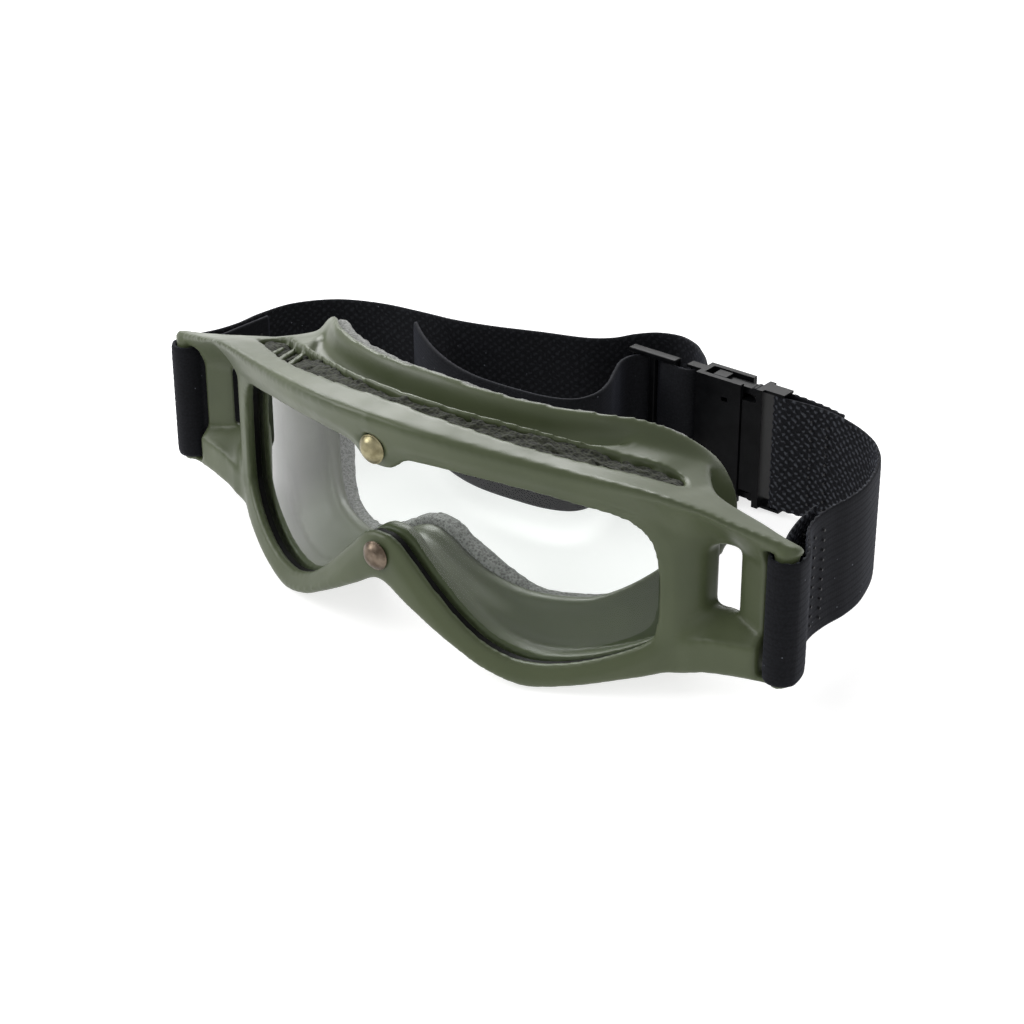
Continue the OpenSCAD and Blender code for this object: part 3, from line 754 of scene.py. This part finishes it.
def thread_material():
    m, tree, shader = material("sewing_thread")
    twist = node(tree, "ShaderNodeTexWave", {
        "Vector": place(tree, 0.5), "Scale": 1.0, "Distortion": 1.0,
    }, bands_direction="DIAGONAL").outputs["Fac"]
    tree.links.new(between(tree, twist, (0.002, 0.002, 0.003), (0.010, 0.010, 0.013)),
                   shader.inputs["Base Color"])
    shader.inputs["Roughness"].default_value = 0.6
    tree.links.new(bump(tree, twist, 0.5, 0.08), shader.inputs["Normal"])
    return m


OLIVE = moulding_material()
CLEAR = lens_material()
FACE_FOAM = foam_material("face_foam", (0.07, 0.072, 0.066), (0.24, 0.245, 0.235), 0.8, 0.4)
VENT_FOAM = foam_material("vent_foam", (0.001, 0.0012, 0.0008), (0.030, 0.033, 0.021), 1.0, 0.6)
WEBBING = webbing_material()
GOLD = brass_material("antique_brass", (0.17, 0.15, 0.085), (0.31, 0.28, 0.17))
COPPER = brass_material("worn_copper", (0.09, 0.068, 0.05), (0.19, 0.15, 0.115))
BLACK = plastic_material("buckle_plastic", (0.0014, 0.0015, 0.0019), 0.3)
RUBBER = plastic_material("seal_rubber", (0.003, 0.003, 0.003), 0.5)
THREAD = thread_material()


# ---------------------------------------------------------------- frame, lens and foams
field, xs, ys, zs = frame_field()
whole, corner = mirrored(field, xs, ys, zs)
verts, quads = surface_net(whole, corner, CELL)
verts = relaxed(verts, quads)
moulding = mesh_object("goggle_frame", verts, quads, OLIVE)
# Distance below the brow ridge's crest on the front, which the moulding's material turns into a
# line of painted shade
ax = np.abs(verts[:, 0])
ridge_y, ridge_z = along(RIDGE, 1, ax), along(RIDGE, 2, ax)
on_front = verts[:, 1] < ridge_y + 3.5
store(moulding, "ridge_line", np.where(on_front, np.abs(verts[:, 2] - ridge_z + 1.6), 9))
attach(moulding, "goggles")
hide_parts("frame")


def lens_sheet():
    """The clear lens: a plate rolled to the front's radius, with its cut edge."""
    edge = ring(LENS, 6)
    centre = np.array([0.0, 33.0])
    rings = 44
    verts, faces = [], []
    n = len(edge)
    for radius in (LENS_FRONT_R, LENS_FRONT_R - LENS_T):
        for k in range(rings + 1):
            p = centre + (edge - centre) * k / rings
            y = FRONT_C - np.sqrt(radius ** 2 - p[:, 0] ** 2)
            verts.append(np.stack([p[:, 0], y, p[:, 1]], 1))
    verts = np.concatenate(verts)
    back = (rings + 1) * n
    for k in range(rings):
        for i in range(n):
            a, b = k * n + i, k * n + (i + 1) % n
            c, d = b + n, a + n
            front = (a, b, c, d) if k else (a, c, d)
            faces.append(front)
            faces.append(tuple(back + f for f in reversed(front)))
    last = rings * n
    for i in range(n):
        a, b = last + i, last + (i + 1) % n
        faces.append((a, b, back + b, back + a))
    return verts, faces


lens_verts, lens_faces = lens_sheet()
lens = mesh_object("lens_sheet", lens_verts, lens_faces, CLEAR)
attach(lens, "goggles")
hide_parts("lens")


def face_foam_mesh(cell=0.8):
    """Foam strip behind the flange, with the uneven skin of cut foam."""
    xs = np.arange(0, 90, cell)
    ys = np.arange(-14, 46, cell)
    zs = np.arange(-12, 70, cell)
    x2, z2 = np.meshgrid(xs, zs, indexing="ij")
    behind = face_side(xs, ys, zs) - FLANGE_T - 0.1
    step = 0.8 + FOAM_STEP * ramp(z2, 8, 36) * (1 - ramp(x2, 54, 66))
    rim = on_face(FLANGE, xs, ys, zs) + step[:, None, :]
    bridge = NOSE_PAD * (1 - ramp(x2, 16, 36)) * (1 - ramp(z2, 24, 34))
    hole = (outline_distance(ring(REAR), x2, z2) + 0.4 + bridge)[:, None, :]
    field = meet(rim, np.abs(behind - FOAM_T / 2) - FOAM_T / 2, 2.4)
    field = cut(field, hole, 1.6)
    field = np.concatenate([field[:0:-1], field])
    grid = np.stack(np.meshgrid(np.concatenate([-xs[:0:-1], xs]), ys, zs, indexing="ij"), -1)
    field = field + 0.24 * noise(grid, 2.3, 5) + 0.12 * noise(grid, 1.1, 6)
    return surface_net(field, np.array([-xs[-1], ys[0], zs[0]]), cell)


verts, quads = face_foam_mesh()
pad = mesh_object("face_foam_strip", verts, quads, FACE_FOAM)
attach(pad, "goggles")
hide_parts("face_foam")


# Foam in the vent: its thickness, how far it lies under the deck, how much lower between the
# far ribs, where it is torn between them, and where it is torn on the near side
VENT_T = 3.0
VENT_SUNK = 1.5
VENT_LOW = 1.6
FAR_TEARS = (-53.8, -61.5)
FAR_TEAR_R = 2.6
NEAR_TEAR = (62, -11.2)
NEAR_TEAR_R = 3.2


def vent_foam_mesh(cell=0.7):
    """Coarse open foam in the slot, torn in three places."""
    xs = np.arange(-82, 82, cell)
    ys = np.arange(-34, 22, cell)
    zs = np.arange(46, 68, cell)
    px, py = np.meshgrid(xs, ys, indexing="ij")
    front, back = slot_edges(xs)
    across = np.maximum(front[:, None] - py, py - back[:, None])
    across = across / np.sqrt(1 + np.gradient(back, cell) ** 2)[:, None]
    plan = meet(across, slot_end(px, py), SLOT_END_ROUND)[:, :, None] + 0.1
    above = zs[None, None, :] - deck_height(px, py)[:, :, None]
    grid = np.stack(np.meshgrid(xs, ys, zs, indexing="ij"), -1)
    sunk = VENT_SUNK + VENT_LOW * ramp(-px, 40, 47) * ramp(px, -72, -66)
    field = meet(plan, slab(above + sunk[:, :, None], -VENT_T, 0), 0.5)
    field = field + 0.6 * noise(grid, 2.3, 11) + 0.5 * noise(grid, 1.3, 12)
    gx, gy = grid[..., 0], grid[..., 1]
    tear = np.hypot(gx - NEAR_TEAR[0], (gy - NEAR_TEAR[1]) * 2.2) - NEAR_TEAR_R
    field = np.maximum(field, -tear)
    for x in FAR_TEARS:
        tear = np.hypot(gx - x, (gy - slot_edges(x)[0] - 5) * 0.7) - FAR_TEAR_R
        field = np.maximum(field, -tear)
    return surface_net(field, np.array([xs[0], ys[0], zs[0]]), cell)


verts, quads = vent_foam_mesh()
vent = mesh_object("brow_vent_foam", verts, quads, VENT_FOAM)
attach(vent, "goggles")
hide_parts("vent_foam")


# ---------------------------------------------------------------- webbing
POST_TURN = [
    (109.7, 3.4), (109, 1.1), (109.7, -1.3), (111.4, -2.8), (113.4, -3.3), (115.6, -2.7),
    (117.2, -1.1), (117.8, 1.1),
]
LONG_ROUTE = [
    (-108.9, 33), (-109.3, 24), (-109.6, 14), (-109.8, 7.4), *[(-x, y) for x, y in POST_TURN],
    (-116.4, 7.4), (-113.4, 15), (-112, 23), (-112, 33), (-109.4, 46), (-100.5, 57.4), (-87, 63.8),
    (-72, 66.6), (-59, 68.4), (-46, 72.2), (-31.4, 78), (-17, 83.4), (-10, 89), (-6.4, 95.6),
    (-1.6, 101), (5.5, 103.4), (12.6, 101.4), (18, 97.4), (22.8, 92.8), (25.2, 88.6),
    (24.2, 85), (21.6, 83.4), (18, 83.4), (13, 84.4), (9, 86.5), (5, 84.4), (2.4, 80.4),
    (2.8, 75), (5.8, 68), (9.4, 60), (11, 52), (8.6, 44.6), (1, 40.6), (-10, 39), (-24, 38.6),
    (-36, 41), (-48, 46), (-59, 52.6), (-68, 59.4),
]
SHORT_ROUTE = [
    (103.4, 31), (104.4, 22), (106.6, 13), (109, 7), *POST_TURN,
    (116.6, 6.6), (112.8, 12.6), (109, 18.6), (107.2, 25), (107, 33), (107.9, 42), (107, 52),
    (102.6, 65), (96.5, 73.6), (89.4, 79), (80.5, 83), (71, 85.3), (62, 84.9), (57.4, 84.2),
    (54.6, 84.9), (53.6, 86.6), (54.6, 88.3), (57.4, 88.8), (64, 88.4), (71, 87.4), (78, 85.7),
]


def resampled(route, spacing):
    """Points every so far along the smoothed route, with the unit normals on their left."""
    p = smooth(route, 12)
    s = np.concatenate([[0], np.cumsum(np.hypot(*np.diff(p, axis=0).T))])
    at = np.linspace(0, s[-1], int(s[-1] / spacing) + 1)
    p = np.stack([np.interp(at, s, p[:, 0]), np.interp(at, s, p[:, 1])], 1)
    d = np.gradient(p, axis=0)
    d /= np.linalg.norm(d, axis=1)[:, None]
    return p, np.stack([-d[:, 1], d[:, 0]], 1), at


def webbing_object(name, route, spacing, outer_side, loops, part=slice(None)):
    """Webbing on edge along a route. outer_side is +1 where the ribbed face is on the left."""
    p, normal, u = (a[part] for a in resampled(route, spacing))
    rows = int(STRAP_W / spacing) + 1
    v = np.linspace(0, STRAP_W, rows)
    edge = np.minimum(v, STRAP_W - v)
    half = STRAP_T / 2 * (1 - 0.42 * np.exp(-edge / 0.7))
    sides = []
    U, V = np.meshgrid(u, v, indexing="ij")
    for sign in (1, -1):
        if sign == outer_side:
            lift = RIBBING * np.sin(2 * math.pi * V / RIBBING_PITCH) - RIBBING
        else:
            lift = loops * np.cos(2 * math.pi * U / LOOP[0]) * np.cos(2 * math.pi * V / LOOP[1])
            lift = lift - loops
        away = (half[None, :] + lift)[..., None] * normal[:, None, :] * sign
        xy = p[:, None, :] + away
        sides.append(np.concatenate([xy, np.broadcast_to((v + STRAP_Z)[None, :, None],
                                                         (len(u), rows, 1))], -1))
    verts = np.concatenate([s.reshape(-1, 3) for s in sides])
    n = len(u) * rows
    i = np.arange(len(u) - 1)[:, None] * rows + np.arange(rows - 1)[None, :]
    i = i.ravel()
    left = np.stack([i, i + rows, i + rows + 1, i + 1], 1)
    right = np.stack([i + 1, i + rows + 1, i + rows, i], 1) + n
    j = np.arange(len(u) - 1) * rows
    low = np.stack([j, j + n, j + rows + n, j + rows], 1)
    top = j + rows - 1
    high = np.stack([top + rows, top + rows + n, top + n, top], 1)
    k = np.arange(rows - 1)
    start = np.stack([k, k + 1, k + 1 + n, k + n], 1)
    last = k + (len(u) - 1) * rows
    end = np.stack([last + n, last + 1 + n, last + 1, last], 1)
    faces = np.concatenate([left, right, low, high, start, end])
    obj = mesh_object(name, verts, faces, WEBBING)
    store(obj, "along", np.tile(U.ravel(), 2))
    store(obj, "across", np.tile(V.ravel(), 2))
    inner = [loops / KNIT * (outer_side < 0), loops / KNIT * (outer_side > 0)]
    store(obj, "inner", np.repeat(inner, n))
    return obj


# Spacing of the webbing's rows: finer where the knitted loops stand out
LONG_STEP = 1.0
SHORT_STEP = 0.55

# The long strap turns back round the socket's bar, and its tail from there on is a webbing of its
# own
FOLD = (25.2, 88.6)
points = resampled(LONG_ROUTE, LONG_STEP)[0]
fold = int(np.argmin(np.hypot(points[:, 0] - FOLD[0], points[:, 1] - FOLD[1])))
long_webbing = webbing_object("long_webbing", LONG_ROUTE, LONG_STEP, 1, LOW_KNIT,
                              slice(0, fold + 1))
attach(long_webbing, "goggles")
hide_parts("long_strap")
tail_webbing = webbing_object("tail_webbing", LONG_ROUTE, LONG_STEP, 1, LOW_KNIT,
                              slice(fold, None))
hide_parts("long_strap")
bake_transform(tail_webbing)
tail_thread = bpy.data.objects.new("tail_thread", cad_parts["tail_stitching"].data.copy())
bpy.context.scene.collection.objects.link(tail_thread)
tail_thread.data.materials.clear()
tail_thread.data.materials.append(THREAD)
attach(tail_thread, "strap_slider")
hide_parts("tail_stitching")

# The short strap, round its post and on to the plug
short_webbing = webbing_object("short_webbing", SHORT_ROUTE, SHORT_STEP, -1, KNIT)
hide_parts("short_strap")
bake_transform(short_webbing)


# ---------------------------------------------------------------- small hard parts
def softened(cad_name, new_name, bevel, body):
    """A copy of the CAD part with its edges broken, as a moulding has them."""
    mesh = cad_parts[cad_name].data.copy()
    obj = bpy.data.objects.new(new_name, mesh)
    bpy.context.scene.collection.objects.link(obj)
    mesh.materials.clear()
    mesh.materials.append(BLACK)
    weld = obj.modifiers.new("weld", "WELD")
    weld.merge_threshold = 2e-6
    flat = obj.modifiers.new("flat", "DECIMATE")
    flat.decimate_type = "DISSOLVE"
    flat.angle_limit = math.radians(3)
    edges = obj.modifiers.new("edges", "BEVEL")
    edges.width = bevel / 1000.0
    edges.segments = 2
    edges.limit_method = "ANGLE"
    edges.angle_limit = math.radians(35)
    edges.use_clamp_overlap = True
    normals = obj.modifiers.new("normals", "WEIGHTED_NORMAL")
    normals.keep_sharp = True
    mesh.shade_smooth()
    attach(obj, body)
    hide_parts(cad_name)


softened("slider", "strap_slider_body", 0.35, "strap_slider")
softened("buckle_socket", "buckle_socket_body", 0.4, "goggles")
softened("buckle_plug", "buckle_plug_body", 0.4, "plug")
softened("upper_prong", "upper_prong_body", 0.3, "upper_latch")
softened("lower_prong", "lower_prong_body", 0.3, "lower_latch")

# Radius and depth of the cap's outside, from its top to its rim
CAP_PROFILE = [
    (0, -2.4), (1.2, -2.36), (2.4, -2.08), (3.3, -1.5), (3.9, -0.9), (4.15, -0.55),
    (4.4, -0.42), (4.45, -0.2), (4.35, 0),
]


def snap_cap(name, cad_name, z, finish):
    """Pressed cap: a dome with a rolled rim."""
    turns = 64
    profile = smooth(CAP_PROFILE, 4)
    base = FRONT_C - FRONT_R - 0.1
    verts, faces = [], []
    for r, y in profile:
        for k in range(turns):
            a = 2 * math.pi * k / turns
            verts.append((r * math.cos(a), base + y, z + r * math.sin(a)))
    rows = len(profile)
    for j in range(rows - 1):
        for k in range(turns):
            a, b = j * turns + k, j * turns + (k + 1) % turns
            faces.append((a, a + turns, b + turns, b))
    faces.append(tuple((rows - 1) * turns + k for k in reversed(range(turns))))
    obj = mesh_object(name, np.array(verts), faces, finish)
    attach(obj, "goggles")
    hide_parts(cad_name)


snap_cap("upper_cap_dome", "upper_snap_cap", SNAP_Z[0], GOLD)
snap_cap("lower_cap_dome", "lower_snap_cap", SNAP_Z[1], COPPER)

# The CAD parts that are shown as they are
for name, finish in (
    ("lens_seal", RUBBER), ("upper_snap_stud", GOLD), ("lower_snap_stud", COPPER),
    ("long_strap_stitching", THREAD), ("short_strap_post_stitching", THREAD),
    ("short_strap_plug_stitching", THREAD),
):
    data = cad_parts[name].data
    data.materials.clear()
    data.materials.append(finish)

# ---------------------------------------------------------------- camera, floor and light
# Camera, in degrees, metres and millimetres, as the photograph was taken
AZIMUTH = 41.586
ELEVATION = 32.747
CAMERA_ROLL = -5.267
DISTANCE = 0.74559
TARGET = Vector((0.00118, -0.01152, 0.01539))
LENS_MM = 86.25

FLOOR_HALF = 6.0
FLOOR_GLOW = 0.72
WORLD_GLOW = 0.66
# Name, place, target, size and watts
LIGHTS = (
    ("key", (-1.15, -0.65, 1.0), (0, 0, 0), (0.9, 0.9), 15),
    ("fill", (1.2, -0.9, 0.8), (0, 0, 0.02), (0.9, 0.9), 2),
    ("back", (-0.75, 0.85, 0.78), (0, 0, 0.03), (1.1, 0.6), 19),
)


def camera_rig():
    """The photograph's camera."""
    a, e, r = (math.radians(v) for v in (AZIMUTH, ELEVATION, CAMERA_ROLL))
    back = Vector((math.sin(a) * math.cos(e), -math.cos(a) * math.cos(e), math.sin(e)))
    right = (-back).cross(Vector((0, 0, 1))).normalized()
    up = right.cross(-back)
    right = right * math.cos(r) + up * math.sin(r)
    up = right.cross(-back)
    data = bpy.data.cameras.new("camera")
    data.lens = LENS_MM
    data.sensor_width = 36.0
    data.clip_start = 0.05
    cam = bpy.data.objects.new("camera", data)
    turn = Matrix((right, up, back)).transposed().to_4x4()
    cam.matrix_world = Matrix.Translation(TARGET + back * DISTANCE) @ turn
    bpy.context.scene.collection.objects.link(cam)
    bpy.context.scene.camera = cam


def area_light(name, position, target, size, watts):
    """A white area light that faces its target."""
    data = bpy.data.lights.new(name, "AREA")
    data.shape = "RECTANGLE"
    data.size, data.size_y = size
    data.energy = watts
    lamp = bpy.data.objects.new(name, data)
    lamp.location = position
    facing = Vector(target) - Vector(position)
    lamp.rotation_euler = facing.to_track_quat("-Z", "Y").to_euler()
    bpy.context.scene.collection.objects.link(lamp)


def floor():
    """A white table top that glows a little, as in a light tent."""
    m, _, shader = material("white_floor")
    shader.inputs["Base Color"].default_value = (0.5, 0.5, 0.5, 1)
    shader.inputs["Roughness"].default_value = 0.9
    shader.inputs["Emission Color"].default_value = (1, 1, 1, 1)
    shader.inputs["Emission Strength"].default_value = FLOOR_GLOW
    mesh = bpy.data.meshes.new("floor")
    s = FLOOR_HALF
    mesh.from_pydata([(-s, -s, 0), (s, -s, 0), (s, s, 0), (-s, s, 0)], [], [(0, 1, 2, 3)])
    mesh.materials.append(m)
    obj = bpy.data.objects.new("floor", mesh)
    bpy.context.scene.collection.objects.link(obj)


camera_rig()
floor()
for light in LIGHTS:
    area_light(*light)
world = bpy.data.worlds.new("studio")
world.use_nodes = True
world.node_tree.nodes["Background"].inputs["Color"].default_value = (1, 1, 1, 1)
world.node_tree.nodes["Background"].inputs["Strength"].default_value = WORLD_GLOW
bpy.context.scene.world = world
bpy.context.scene.view_settings.view_transform = "Standard"
